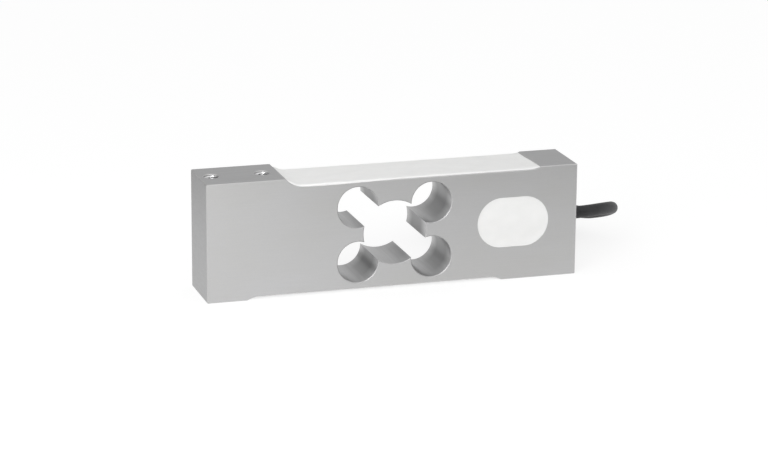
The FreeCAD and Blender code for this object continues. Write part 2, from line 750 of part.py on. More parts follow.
def end_core(start_side, end_shift, end_rise, length, wire_radius):
    """Stripped core that leaves the sleeve and settles on the turns below it."""
    sleeve_radius, sleeve_z = sleeve_place()
    offset = CORE_RADIUS * 1.4
    start_radius = sleeve_radius + start_side[0] * offset
    start_z = sleeve_z + start_side[1] * offset
    end_radius = sleeve_radius + end_shift
    end_z = coil_z[1] + cable_radius + wire_radius + TIE_CLEARANCE + end_rise
    start_angle = sleeve_end_angle()
    end_angle = start_angle + math.degrees(length / sleeve_radius)
    middle_angle = (start_angle + end_angle) / 2
    middle_radius = (start_radius + end_radius) / 2
    middle_z = start_z * 0.3 + end_z * 0.7
    arc = Part.Arc(coil_point(start_radius, start_angle, start_z),
                   coil_point(middle_radius, middle_angle, middle_z),
                   coil_point(end_radius, end_angle, end_z))
    return round_bar(Part.Wire(arc.toShape()), wire_radius).cut(end_sleeve())


# ---------------------------------------------------------------- assembly
def build():
    nodes = {"spring_element": spring_element()}
    gauge_ends = {"load": -CORNER_HOLE_OFFSET, "fixed": CORNER_HOLE_OFFSET}
    mirror_z = (top_floor_z + BASE_RECESS) / 2
    for end, x in gauge_ends.items():
        makers = {"gauge_backing": gauge_backing, "gauge_foil": gauge_foil,
                  "terminal_strip": terminal_strip}
        for name, maker in makers.items():
            nodes["%s_top_%s" % (name, end)] = maker(x)
            nodes["%s_base_%s" % (name, end)] = mirrored_z(maker(x), mirror_z)

    top_solder = floor_solder()
    base_solder = [mirrored_z(dot, mirror_z) for dot in top_solder]
    leads = {}
    for floor, floor_z, up, dots in (("top", top_floor_z, 1, top_solder),
                                     ("base", BASE_RECESS, -1, base_solder)):
        solder = group(dots)
        leads[floor] = [wire.cut(solder) for wire in floor_leads(floor_z, up)]
        nodes["gauge_solder_" + floor] = solder
        nodes["gauge_leads_" + floor] = group(leads[floor])

    nodes["compensation_board"] = compensation_board()
    nodes["board_copper"] = group(board_copper())
    nodes["board_solder"] = group(board_solder())
    for rank, name in enumerate(("span_resistor", "zero_resistor", "modulus_resistor")):
        nodes[name] = chip_resistor(rank)
    cores = {"cable_core_" + name: core_in_pocket(y, z, pad) for name, y, z, pad in core_layout()}
    cores["cable_drain"] = drain_in_pocket()
    nodes.update(cores)
    nodes["bore_seal"] = bore_seal(list(cores.values()))

    def beside(floor):
        names = [n for n in nodes if n.endswith("_" + floor) or "_%s_" % floor in n]
        return [nodes[n] for n in names]

    nodes["top_coating"] = coating(
        top_floor_z, 1, TOP_RECESS, fixed_pad_z - top_floor_z, -half_length + LOAD_PAD_LENGTH,
        half_length - FIXED_PAD_LENGTH, beside("top"))
    nodes["base_coating"] = coating(
        BASE_RECESS, -1, BASE_RECESS, BASE_RECESS, -half_length + LOAD_FOOT_LENGTH,
        half_length - FIXED_FOOT_LENGTH, beside("base"))
    in_pocket = ["compensation_board", "board_copper", "board_solder", "span_resistor",
                 "zero_resistor", "modulus_resistor", "gauge_leads_top", "gauge_leads_base"]
    nodes["pocket_potting"] = pocket_potting([nodes[n] for n in in_pocket] + list(cores.values()))

    nodes["cable_run"] = cable_run()
    nodes["cable_coil"] = cable_coil()
    nodes["coil_tie"] = coil_tie()
    nodes["end_sleeve"] = end_sleeve()
    for name, layout in END_CORES.items():
        nodes["end_core_" + name] = end_core(*layout, CORE_RADIUS)
    nodes["end_drain"] = end_core(*END_DRAIN, DRAIN_RADIUS)
    return nodes


for node, shape in build().items():
    solids = shape.Solids
    valid = shape.isValid() and all(solid.isClosed() for solid in solids)
    print("%-28s solids %2d valid %s volume %.2f" % (node, len(solids), valid, shape.Volume))
    shape.exportStep("parts/%s.step" % node)
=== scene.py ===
"""Single point load cell: finishes, compound, threads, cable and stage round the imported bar.

Frame: metres, X along the bar towards the cable, Y across it towards the back, Z up, with the
origin in the middle of the bar's footprint.
"""
import json
import math

import bmesh
import bpy
from mathutils import Matrix, Vector, noise


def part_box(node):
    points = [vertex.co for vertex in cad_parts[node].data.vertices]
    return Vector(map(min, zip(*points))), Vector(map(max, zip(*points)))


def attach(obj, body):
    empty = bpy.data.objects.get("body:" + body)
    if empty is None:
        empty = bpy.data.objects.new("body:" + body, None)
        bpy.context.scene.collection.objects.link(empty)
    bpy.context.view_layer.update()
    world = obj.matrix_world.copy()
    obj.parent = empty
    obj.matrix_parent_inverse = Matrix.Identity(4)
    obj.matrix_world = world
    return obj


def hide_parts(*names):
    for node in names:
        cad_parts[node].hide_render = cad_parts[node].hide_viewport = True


bl_info = {
    "name": "Single Point Load Cell",
    "version": (1, 0, 0),
    "blender": (4, 5, 0),
    "location": "3D View > Sidebar > Load Cell",
    "description": "Builds the finishes, compound, threads, cable and stage of a load cell",
    "category": "Object",
}

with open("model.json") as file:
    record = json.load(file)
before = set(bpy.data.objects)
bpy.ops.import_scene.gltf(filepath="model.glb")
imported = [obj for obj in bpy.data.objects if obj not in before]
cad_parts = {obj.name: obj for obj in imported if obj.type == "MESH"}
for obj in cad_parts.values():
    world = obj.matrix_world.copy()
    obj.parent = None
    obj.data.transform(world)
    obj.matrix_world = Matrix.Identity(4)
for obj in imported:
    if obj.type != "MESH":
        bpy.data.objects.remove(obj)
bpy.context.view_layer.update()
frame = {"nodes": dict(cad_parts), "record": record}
NODES = frame["nodes"]
SLOT_OF = {row["node"]: row["material_slot"] for row in frame["record"]["subparts"]}

MM = 0.001
BODY = "root"

# ---------------------------------------------------------------- places on the bar (metres)
BAR_LOW, BAR_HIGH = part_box("spring_element")
FIXED_PAD_Z = BAR_HIGH.z - 2.0 * MM
TOP_FLOOR_Z = BAR_HIGH.z - 3.0 * MM
BASE_FLOOR_Z = 1.4 * MM
LOAD_PAD_END = BAR_LOW.x + 31.3 * MM
FIXED_PAD_START = BAR_HIGH.x - 15.5 * MM
LOAD_FOOT_END = BAR_LOW.x + 16.0 * MM
FIXED_FOOT_START = BAR_HIGH.x - 31.0 * MM
CUTTER_RADIUS = 8.0 * MM
EDGE_CHAMFER = 0.3 * MM

LOAD_THREADS = (-70.0 * MM, -50.0 * MM)
FIXED_THREADS = (50.0 * MM, 70.0 * MM)
THREAD_RADIUS = 3.0 * MM
LOAD_THREAD_DEPTH = 15.0 * MM
FIXED_THREAD_DEPTH = 10.0 * MM
POCKET_LOW_Z, POCKET_HIGH_Z = 13.2 * MM, 33.4 * MM

# ---------------------------------------------------------------- the cable's route (metres)
CABLE_RADIUS = 2.5 * MM
FREE_RUN = [
    (64.0 * MM, 0.0, 21.4 * MM),
    (80.6 * MM, 0.0, 21.4 * MM),
    (95.5 * MM, 7.7 * MM, 20.1 * MM),
    (103.6 * MM, 19.3 * MM, 16.8 * MM),
    (104.7 * MM, 32.5 * MM, 11.6 * MM),
    (98.8 * MM, 44.5 * MM, 7.8 * MM),
]
COIL_CENTRE = Vector((65.3 * MM, 48.5 * MM, 0.0))
COIL_ENTRY = 26.0                      # degrees round the coil where the run meets it
COIL_STEP = 24.0                       # degrees between the route's points in a turn
INNER_TURN, OUTER_TURN = 23.0 * MM, 28.0 * MM
LAYERS = (3.4 * MM, 8.4 * MM, 13.4 * MM)
# Where the turns lie, in winding order: radius, height
COIL_LANES = [
    (OUTER_TURN, LAYERS[1]), (OUTER_TURN, LAYERS[0]), (INNER_TURN, LAYERS[0]),
    (INNER_TURN, LAYERS[1]), (INNER_TURN, LAYERS[2]), (OUTER_TURN, LAYERS[2]),
]
LANE_CHANGES = (270.0, 585.0, 900.0, 1215.0, 1530.0)   # degrees after the entry
LANE_CHANGE_LENGTH = 90.0
COIL_END = 1860.0
TIE_ANGLE = 250.0
SLEEVE_ASIDE = 0.45 * MM               # the sleeve lies in the groove outside the top turn
COIL_SETTLE = 0.85 * MM                # the coil tilts down to the floor opposite its tie

# Nylon tie round the coil
TIE_CLEARANCE = 0.1 * MM               # between the jacket and the strap
STRAP_BEVEL = 0.15 * MM
HEAD_SIZE = (5.0 * MM, 4.4 * MM, 3.6 * MM)
HEAD_ROUND = 0.45 * MM
SLOT_RIM, SLOT_DEPTH = 0.55 * MM, 0.7 * MM
TAIL_TEETH, TOOTH_PITCH, TOOTH_HEIGHT = 8, 0.55 * MM, 0.12 * MM
TAIL_HEIGHT = 1.7                      # millimetres above the strap's seat
TAIL_RISE = 0.018                      # millimetres, times the square of the tooth's number

# Shrink sleeve
SLEEVE_RADIUS = 2.86 * MM
SLEEVE_SHRINK = 0.5 * MM               # how much narrower it is past the jacket's end
SLEEVE_LIP = 0.14 * MM
SLEEVE_FOLD = 0.07 * MM
CORE_SPREAD = 0.8                      # millimetres from the sleeve's axis to a core
SLEEVE_TURN = OUTER_TURN + SLEEVE_ASIDE
# Stripped end: which side of the sleeve each wire leaves by (outward, up), where it comes to
# lie (outward, up), its length and its radius, in millimetres
END_WIRES = {
    "red": (-1, 1, -0.95, 1.05, 24.0, 0.6),
    "black": (1, 1, 1.5, 1.0, 23.0, 0.6),
    "green": (1, -1, 0.2, 0.0, 20.0, 0.6),
    "white": (-1, -1, -2.05, 0.0, 22.0, 0.6),
    "drain": (0, 0, 0.15, 2.45, 14.0, 0.3),
}


# ---------------------------------------------------------------- settings
def length_property(name, description, millimetres):
    return bpy.props.FloatProperty(name=name, description=description, default=millimetres * MM,
                                   unit="LENGTH", precision=5)


def power_property(name, description, watts):
    return bpy.props.FloatProperty(name=name, description=description, default=watts,
                                   unit="POWER")


def angle_property(name, description, degrees):
    return bpy.props.FloatProperty(name=name, description=description, subtype="ANGLE",
                                   unit="ROTATION", default=math.radians(degrees))


def factor_property(name, description, value):
    return bpy.props.FloatProperty(name=name, description=description, default=value,
                                   min=0.0, max=1.0, subtype="FACTOR")


def colour_property(name, description, value):
    return bpy.props.FloatVectorProperty(name=name, description=description, default=value,
                                         size=3, min=0.0, max=1.0, subtype="COLOR")


class BarSettings(bpy.types.PropertyGroup):
    """Finish of the machined bar and its tapped holes."""
    colour: colour_property("Aluminium", "Colour of the machined faces", (0.575, 0.575, 0.578))
    warm_colour: colour_property("Warm patches", "Colour that the faces drift to",
                                 (0.56, 0.558, 0.553))
    # The sawn ends' darker tone is partly their own coarser cut and partly painted shade for the
    # dimmer light on the ends.
    end_tone_and_painted_shade: factor_property("End tone", "Tone of the sawn ends against the long faces", 0.78)
    roughness: factor_property("Roughness", "Roughness of the machined faces", 0.46)
    grain: length_property("Grain depth", "Depth of the fine tool marks", 0.02)
    thread_pitch: length_property("Thread pitch", "Pitch of the tapped holes", 1.0)
    thread_depth: length_property("Thread depth", "Height of the thread's ridge", 0.54)


class CompoundSettings(bpy.types.PropertyGroup):
    """White sealing compound on the gauge floors and in the wiring pocket."""
    colour: colour_property("Compound", "Colour of the cured compound", (0.885, 0.885, 0.875))
    roughness: factor_property("Roughness", "Roughness of the cured compound", 0.4)
    thickness: length_property("Thickness", "Thickness of the compound on the floors", 0.6)
    side_round: length_property("Side round", "Width over which it thins towards the sides", 1.3)
    end_round: length_property("End round", "Width over which it thins towards the pads", 2.6)
    overlap: length_property("Overlap", "How far it runs down over the front edge", 0.6)
    ripple: length_property("Ripple", "Height of the unevenness left by the brush", 0.07)
    meniscus: length_property("Meniscus", "How far the potting sinks inside its rim", 0.28)


class CableSettings(bpy.types.PropertyGroup):
    """Jacketed cable, its tie and its stripped end."""
    colour: colour_property("Jacket", "Colour of the jacket", (0.02, 0.02, 0.022))
    roughness: factor_property("Roughness", "Roughness of the jacket", 0.48)
    length: length_property("Length", "Length of the cable", 950.0)
    tie_thickness: length_property("Tie thickness", "Thickness of the tie's strap", 0.8)
    tie_width: length_property("Tie width", "Width of the tie's strap", 2.6)
    sleeve_length: length_property("Sleeve", "Length of jacket under the shrink sleeve", 11.0)
    tinned_length: length_property("Tinned length", "Bare tinned end of each core", 5.0)


class StageSettings(bpy.types.PropertyGroup):
    """Floor, lights and camera."""
    floor_radius: length_property("Floor radius", "Size of the floor", 4000.0)
    floor_glow: factor_property("Floor white", "Share of white in the floor's shade", 0.8)
    world_light: bpy.props.FloatProperty(name="Room light", default=0.68,
                                         description="Strength of the room's soft light")
    ceiling_shade: factor_property("Ceiling", "Brightness of the room above eye level", 0.5)
    overhead_light: factor_property("Overhead", "Extra brightness straight overhead", 0.65)
    key_power: power_property("Key light", "Power of the front lamp", 1.0)
    fill_power: power_property("Fill light", "Power of the side lamp", 1.5)
    low_power: power_property("Low light", "Power of the low front lamp", 0.04)
    card_tone: factor_property("Cards", "Brightness of the grey cards", 0.1)
    lens: bpy.props.FloatProperty(name="Lens", description="Focal length", default=135.35,
                                  unit="CAMERA")
    azimuth: angle_property("Azimuth", "How far the camera stands round to the left", 17.22)
    elevation: angle_property("Elevation", "How far the camera looks down", 15.80)
    roll: angle_property("Roll", "Tilt of the camera about its axis", 0.42)
    distance: length_property("Distance", "From the camera to the bar", 1130.97)
    target: bpy.props.FloatVectorProperty(name="Target", description="Point the camera looks at",
                                          default=(-0.77 * MM, -0.5 * MM, 20.27 * MM), size=3,
                                          subtype="XYZ", unit="LENGTH", precision=5)


# ---------------------------------------------------------------- materials
class Finish:
    """A procedural material under construction; its coordinates are the frame's."""

    def __init__(self, name, colour, roughness, metallic=0.0):
        self.material = bpy.data.materials.new(name)
        self.material.use_nodes = True
        self.tree = self.material.node_tree
        self.surface = self.tree.nodes["Principled BSDF"]
        self.surface.inputs["Base Color"].default_value = (*colour, 1.0)
        self.surface.inputs["Roughness"].default_value = roughness
        self.surface.inputs["Metallic"].default_value = metallic
        self.surface.inputs["IOR"].default_value = 1.5
        self.place = self.tree.nodes.new("ShaderNodeTexCoord").outputs["Object"]

    def put(self, node_type, **settings):
        node = self.tree.nodes.new(node_type)
        for name, value in settings.items():
            setattr(node, name, value)
        return node

    def join(self, source, target):
        self.tree.links.new(source, target)

    def noise(self, per_metre, detail=3.0, rough=0.5, distortion=0.0):
        """Noise whose grains number per_metre along X, Y and Z."""
        stretch = self.put("ShaderNodeMapping")
        stretch.inputs["Scale"].default_value = per_metre
        grains = self.put("ShaderNodeTexNoise")
        grains.inputs["Scale"].default_value = 1.0
        grains.inputs["Detail"].default_value = detail
        grains.inputs["Roughness"].default_value = rough
        grains.inputs["Distortion"].default_value = distortion
        self.join(self.place, stretch.inputs["Vector"])
        self.join(stretch.outputs["Vector"], grains.inputs["Vector"])
        return grains.outputs["Fac"]

    def spread(self, factor, low, high, start=0.3, end=0.7):
        """Carries start..end of a factor to low..high."""
        curve = self.put("ShaderNodeMapRange")
        curve.inputs["From Min"].default_value = start
        curve.inputs["From Max"].default_value = end
        curve.inputs["To Min"].default_value = low
        curve.inputs["To Max"].default_value = high
        self.join(factor, curve.inputs["Value"])
        return curve.outputs["Result"]

    def blend_colour(self, factor, first, second):
        """Mixes two colours, each a triple or another mix."""
        mix = self.put("ShaderNodeMix", data_type="RGBA")
        self.join(factor, mix.inputs[0])
        for colour, socket in ((first, mix.inputs[6]), (second, mix.inputs[7])):
            if isinstance(colour, bpy.types.NodeSocket):
                self.join(colour, socket)
            else:
                socket.default_value = (*colour, 1.0)
        return mix.outputs[2]

    def size_along(self, vector, axis):
        """Size of one part of a vector, whatever its sign."""
        split = self.put("ShaderNodeSeparateXYZ")
        self.join(vector, split.inputs[0])
        size = self.put("ShaderNodeMath", operation="ABSOLUTE")
        self.join(split.outputs[axis], size.inputs[0])
        return size.outputs[0]

    def facing(self, axis, least=0.98, soft=0.01):
        """1 on faces square to that axis of the frame, 0 elsewhere."""
        normal = self.put("ShaderNodeTexCoord").outputs["Normal"]
        return self.spread(self.size_along(normal, axis), 0.0, 1.0, least - soft, least + soft)

    def within(self, axis, reach, soft=0.1 * MM):
        """1 closer than reach to the frame's origin along that axis, 0 beyond."""
        return self.spread(self.size_along(self.place, axis), 1.0, 0.0, reach - soft, reach + soft)

    def both(self, first, second):
        product = self.put("ShaderNodeMath", operation="MULTIPLY")
        self.join(first, product.inputs[0])
        self.join(second, product.inputs[1])
        return product.outputs[0]

    def colour(self, socket):
        self.join(socket, self.surface.inputs["Base Color"])

    def roughness(self, socket):
        self.join(socket, self.surface.inputs["Roughness"])

    def bump(self, height, distance, strength=1.0):
        """Adds relief on top of any relief already there."""
        relief = self.put("ShaderNodeBump")
        relief.inputs["Strength"].default_value = strength
        relief.inputs["Distance"].default_value = distance
        self.join(height, relief.inputs["Height"])
        normal = self.surface.inputs["Normal"]
        if normal.is_linked:
            self.join(normal.links[0].from_socket, relief.inputs["Normal"])
        self.join(relief.outputs["Normal"], normal)


def shade(colour, factor):
    return tuple(min(1.0, channel * factor) for channel in colour)


def aluminium_finish(bar):
    """Satin milled aluminium: fine tool marks along X; brushed pads and sawn ends, both darkened by
    painted shade; painted shade deep in the bores.
    """
    finish = Finish("machined_aluminium", bar.colour, bar.roughness, metallic=1.0)
    marks = finish.noise((140, 2600, 2600), detail=4.0, rough=0.6)
    brushed = finish.noise((45, 1100, 45), detail=3.0, rough=0.6)
    sawn = finish.noise((60, 300, 1500), detail=3.0, rough=0.6)
    grit = finish.noise((2100, 2100, 2100), detail=2.0)
    drift = finish.noise((26, 40, 55), detail=2.0)
    on_end, on_pad = finish.facing("X"), finish.facing("Z")
    base = finish.blend_colour(finish.spread(drift, 0.0, 1.0), bar.colour, bar.warm_colour)
    marked = finish.blend_colour(finish.spread(marks, 0.0, 0.05), base, (0.3, 0.3, 0.3))
    # Sawn ends: the streaks are their cut; their tone below the long faces' is partly their coarser
    # finish, partly painted shade.
    ends = finish.blend_colour(finish.spread(sawn, 0.0, 1.0),
                               shade(bar.colour, bar.end_tone_and_painted_shade * 1.04),
                               shade(bar.colour, bar.end_tone_and_painted_shade * 0.95))
    # Faces square to Z: the streaks are real brushing, and their tone, darker than the sides', is
    # painted shade.
    pads = finish.blend_colour(finish.spread(brushed, 0.0, 1.0), shade(bar.colour, 0.87),
                               shade(bar.colour, 0.78))
    flat = finish.blend_colour(on_pad, marked, pads)
    outside = finish.blend_colour(on_end, flat, ends)
    bored = finish.noise((650, 25, 650), detail=3.0, rough=0.65)
    bores = finish.blend_colour(finish.spread(bored, 0.0, 1.0), shade(bar.colour, 1.02),
                                shade(bar.colour, 0.86))
    # Painted shade: the bore walls facing along X turn dark towards mid-depth, where shade falls
    # inside the bores.
    flanks = finish.facing("X", 0.5, 0.35)
    painted_shade_inside = finish.within("Y", 8.8 * MM, 3.4 * MM)
    bores = finish.blend_colour(finish.both(flanks, painted_shade_inside), bores, shade(bar.colour, 0.42))
    flank = finish.spread(finish.facing("Y", 0.5), 1.0, 0.0, 0.0, 1.0)
    in_bore = finish.both(flank, finish.within("X", 31.0 * MM))
    finish.colour(finish.blend_colour(in_bore, outside, bores))
    satin = finish.spread(grit, bar.roughness - 0.03, bar.roughness + 0.05)
    finish.roughness(finish.blend_colour(in_bore, satin, (0.38, 0.38, 0.38)))
    finish.bump(marks, bar.grain, 0.3)
    finish.bump(grit, bar.grain, 0.25)
    return finish.material


def tapped_finish(bar):
    """Bright cut threads with an oily gloss."""
    finish = Finish("tapped_aluminium", shade(bar.colour, 1.45), 0.2, metallic=1.0)
    chatter = finish.noise((900, 900, 4000), detail=2.0)
    finish.roughness(finish.spread(chatter, 0.14, 0.3))
    finish.bump(chatter, 0.03 * MM, 0.4)
    return finish.material


def compound_finish(compound):
    """Cured white silicone with brush strokes and a soft sheen."""
    finish = Finish("white_compound", compound.colour, compound.roughness)
    finish.surface.inputs["IOR"].default_value = 1.41
    finish.surface.inputs["Subsurface Weight"].default_value = 0.12
    finish.surface.inputs["Subsurface Radius"].default_value = (1.0, 0.95, 0.9)
    finish.surface.inputs["Subsurface Scale"].default_value = 0.8 * MM
    clouds = finish.noise((150, 220, 220), detail=3.0)
    finish.colour(finish.blend_colour(finish.spread(clouds, 0.0, 1.0), compound.colour,
                                      shade(compound.colour, 0.965)))
    skin = finish.noise((420, 700, 700), detail=3.0, distortion=0.4)
    finish.roughness(finish.spread(skin, compound.roughness - 0.06, compound.roughness + 0.08))
    finish.bump(skin, 0.10 * MM, 0.4)
    return finish.material


def jacket_finish(cable):
    """Extruded black jacket: faint haze and fine drag lines."""
    finish = Finish("black_jacket", cable.colour, cable.roughness)
    finish.surface.inputs["Specular IOR Level"].default_value = 0.34
    haze = finish.noise((260, 260, 260), detail=3.0)
    finish.colour(finish.blend_colour(finish.spread(haze, 0.0, 1.0), cable.colour,
                                      shade(cable.colour, 1.5)))
    skin = finish.noise((2400, 2400, 2400), detail=2.0)
    finish.roughness(finish.spread(skin, cable.roughness - 0.05, cable.roughness + 0.08))
    finish.bump(skin, 0.03 * MM, 0.5)
    return finish.material


# Small parts: colour, second colour, metallic, roughness, grains per metre, relief in millimetres
SMALL_FINISHES = {
    "polyimide": ((0.42, 0.2, 0.03), (0.5, 0.26, 0.05), 0.0, 0.3, 900, 0.01),
    "gauge_foil": ((0.52, 0.45, 0.36), (0.6, 0.53, 0.44), 1.0, 0.3, 3500, 0.004),
    "copper": ((0.72, 0.36, 0.22), (0.62, 0.28, 0.17), 1.0, 0.32, 2200, 0.008),
    "solder": ((0.6, 0.6, 0.6), (0.5, 0.5, 0.51), 1.0, 0.24, 1800, 0.02),
    "enamelled_wire": ((0.4, 0.12, 0.04), (0.48, 0.17, 0.06), 0.4, 0.25, 2500, 0.005),
    "board_laminate": ((0.03, 0.16, 0.07), (0.04, 0.21, 0.09), 0.0, 0.35, 1200, 0.02),
    "chip_ceramic": ((0.03, 0.03, 0.03), (0.06, 0.06, 0.06), 0.0, 0.4, 2500, 0.01),
    "seal_adhesive": ((0.7, 0.62, 0.42), (0.78, 0.71, 0.5), 0.0, 0.25, 500, 0.06),
    "red_insulation": ((0.5, 0.02, 0.02), (0.42, 0.015, 0.015), 0.0, 0.38, 1500, 0.01),
    "black_insulation": ((0.018, 0.018, 0.018), (0.03, 0.03, 0.03), 0.0, 0.38, 1500, 0.01),
    "green_insulation": ((0.02, 0.27, 0.06), (0.015, 0.21, 0.05), 0.0, 0.38, 1500, 0.01),
    "white_insulation": ((0.8, 0.79, 0.76), (0.72, 0.71, 0.68), 0.0, 0.38, 1500, 0.01),
    "tinned_wire": ((0.62, 0.61, 0.59), (0.5, 0.49, 0.47), 1.0, 0.3, 3000, 0.02),
    "shrink_sleeve": ((0.014, 0.014, 0.015), (0.024, 0.024, 0.024), 0.0, 0.5, 1100, 0.05),
    "tie_nylon": ((0.74, 0.74, 0.7), (0.66, 0.66, 0.62), 0.0, 0.36, 900, 0.03),
}


def small_finish(name):
    colour, second, metallic, roughness, grains, relief = SMALL_FINISHES[name]
    finish = Finish(name, colour, roughness, metallic)
    speckle = finish.noise((grains, grains, grains), detail=2.0)
    finish.colour(finish.blend_colour(finish.spread(speckle, 0.0, 1.0), colour, second))
    finish.roughness(finish.spread(speckle, roughness * 0.85, roughness * 1.2))
    finish.bump(speckle, relief * MM, 0.6)
    return finish.material


def slot_finish(slot):
    """The material of a slot, made once."""
    known = bpy.data.materials.get(slot)
    if known:
        return known
    scene = bpy.context.scene
    makers = {
        "machined_aluminium": lambda: aluminium_finish(scene.load_cell_bar),
        "white_compound": lambda: compound_finish(scene.load_cell_compound),
        "black_jacket": lambda: jacket_finish(scene.load_cell_cable),
    }
    return makers[slot]() if slot in makers else small_finish(slot)


def clear_imported_materials():
    """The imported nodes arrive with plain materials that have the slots' names."""
    for node in NODES.values():
        node.data.materials.clear()
    for material in list(bpy.data.materials):
        bpy.data.materials.remove(material)


def finish_nodes(nodes):
    for name in nodes:
        NODES[name].data.materials.append(slot_finish(SLOT_OF[name]))


# ---------------------------------------------------------------- mesh and curve helpers
def add_object(name, data, slot, replaced=()):
    """Links a piece, gives it its slot's finish and carries it on the bar."""
    piece = bpy.data.objects.new(name, data)
    bpy.context.scene.collection.objects.link(piece)
    data.materials.append(slot_finish(slot))
    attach(piece, BODY)
    if replaced:
        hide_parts(*replaced)
    return piece


def mesh_from(bm, name, smooth=True):
    bmesh.ops.recalc_face_normals(bm, faces=bm.faces)
    mesh = bpy.data.meshes.new(name)
    bm.to_mesh(mesh)
    bm.free()
    mesh.shade_smooth() if smooth else mesh.shade_flat()
    return mesh


def skin(name, rings, smooth=True, closed=False, place=None):
    """Mesh over closed rings of points, in order. Its ends are capped, or joined if closed."""
    bm = bmesh.new()
    rows = [[bm.verts.new(point) for point in ring] for ring in rings]
    for row, next_row in zip(rows, rows[1:] + rows[:1] if closed else rows[1:]):
        count = len(row)
        for i in range(count):
            j = (i + 1) % count
            bm.faces.new((row[i], row[j], next_row[j], next_row[i]))
    if not closed:
        bm.faces.new(rows[0][::-1])
        bm.faces.new(rows[-1])
    if place:
        bm.transform(place)
    return mesh_from(bm, name, smooth)


def smooth_curve(name, points, radius=0.0, sides=7, steps=10):
    """Open quadratic NURBS through the reach of its points; a round bar if radius is given."""
    curve = bpy.data.curves.new(name, "CURVE")
    curve.dimensions = "3D"
    spline = curve.splines.new("NURBS")
    spline.points.add(len(points) - 1)
    for knot, point in zip(spline.points, points):
        knot.co = (*point, 1.0)
    spline.order_u = 3
    spline.use_endpoint_u = True
    spline.resolution_u = steps
    curve.resolution_u = steps
    curve.bevel_depth = radius
    curve.bevel_resolution = sides
    curve.use_fill_caps = True
    return curve


def curve_line(points, steps=10):
    """Points along the smooth curve of these control points."""
    line = bpy.data.objects.new("line", smooth_curve("line", points, steps=steps))
    bpy.context.scene.collection.objects.link(line)
    mesh = bpy.data.meshes.new_from_object(line)
    found = [vertex.co.copy() for vertex in mesh.vertices]
    curve = line.data
    bpy.data.objects.remove(line)
    bpy.data.curves.remove(curve)
    bpy.data.meshes.remove(mesh)
    return found


def sweep(name, line, section, sides):
    """Tube along a line; section(share of the length, angle) gives its radius there."""
    lengths = [0.0]
    for start, end in zip(line, line[1:]):
        lengths.append(lengths[-1] + (end - start).length)
    side = None
    rings = []
    for i, centre in enumerate(line):
        along = (line[min(i + 1, len(line) - 1)] - line[max(i - 1, 0)]).normalized()
        if side is None:
            side = along.orthogonal()
        side = (side - along * side.dot(along)).normalized()
        other = along.cross(side)
        share = lengths[i] / lengths[-1]
        ring = []
        for k in range(sides):
            angle = 2 * math.pi * k / sides
            radius = section(share, angle)
            ring.append(centre + (side * math.cos(angle) + other * math.sin(angle)) * radius)
        rings.append(ring)
    return skin(name, rings)


def smooth_step(value):
    value = min(1.0, max(0.0, value))
    return value * value * (3 - 2 * value)


def wave(x, y, z, size):
    """Smooth noise from -1 to 1 with features of that size."""
    return noise.noise(Vector((x, y, z)) / size)


def spaced(length, rounds, fine, steps):
    """Places from 0 to length, close together within rounds of either end."""
    edge = [rounds * (1 - math.cos(math.pi / 2 * i / fine)) for i in range(fine + 1)]
    inner = [rounds + (length - 2 * rounds) * i / steps for i in range(1, steps)]
    return edge + inner + [length - place for place in reversed(edge)]


# ---------------------------------------------------------------- tapped holes
def thread_mesh(name, centre_x, mouth_z, inward, depth, bar):
    """Helical ridge that stands on the wall of a tapped hole."""
    per_turn = 48
    pitch = bar.thread_pitch
    root = THREAD_RADIUS + 0.02 * MM
    start = 0.35 * MM
    turns = (depth - start) / pitch - 1.0
    count = int(turns * per_turn)
    rings = []
    for i in range(count + 1):
        angle = 2 * math.pi * i / per_turn
        fade = smooth_step(min(i, count - i) / (per_turn * 0.5))
        crest = THREAD_RADIUS - bar.thread_depth * fade
        middle = mouth_z + inward * (start + pitch * (0.5 + i / per_turn))
        across = Vector((math.cos(angle), math.sin(angle), 0))
        ring = []
        for radius, rise in ((root, -0.46), (crest, -0.08), (crest, 0.08), (root, 0.46)):
            ring.append(Vector((centre_x, 0, middle + rise * pitch)) + across * radius)
        rings.append(ring)
    return skin(name, rings, smooth=False)


class LOADCELL_OT_threads(bpy.types.Operator):
    """Cut the threads of the four tapped holes"""
    bl_idname = "load_cell.threads"
    bl_label = "Threads"

    def execute(self, context):
        bar = context.scene.load_cell_bar
        bright = tapped_finish(bar)
        rows = [("load_thread", x, BAR_HIGH.z, -1, LOAD_THREAD_DEPTH) for x in LOAD_THREADS]
        rows += [("fixed_thread", x, 0.0, 1, FIXED_THREAD_DEPTH) for x in FIXED_THREADS]
        for number, (name, x, mouth_z, inward, depth) in enumerate(rows):
            name = "%s_%s" % (name, "inner" if number in (1, 2) else "outer")
            thread = add_object(name, thread_mesh(name, x, mouth_z, inward, depth, bar),
                                "machined_aluminium")
            thread.data.materials[0] = bright
        return {"FINISHED"}


class LOADCELL_OT_bar(bpy.types.Operator):
    """Give the machined bar its satin finish"""
    bl_idname = "load_cell.bar"
    bl_label = "Machined Bar"

    def execute(self, context):
        finish_nodes(["spring_element"])
        return {"FINISHED"}


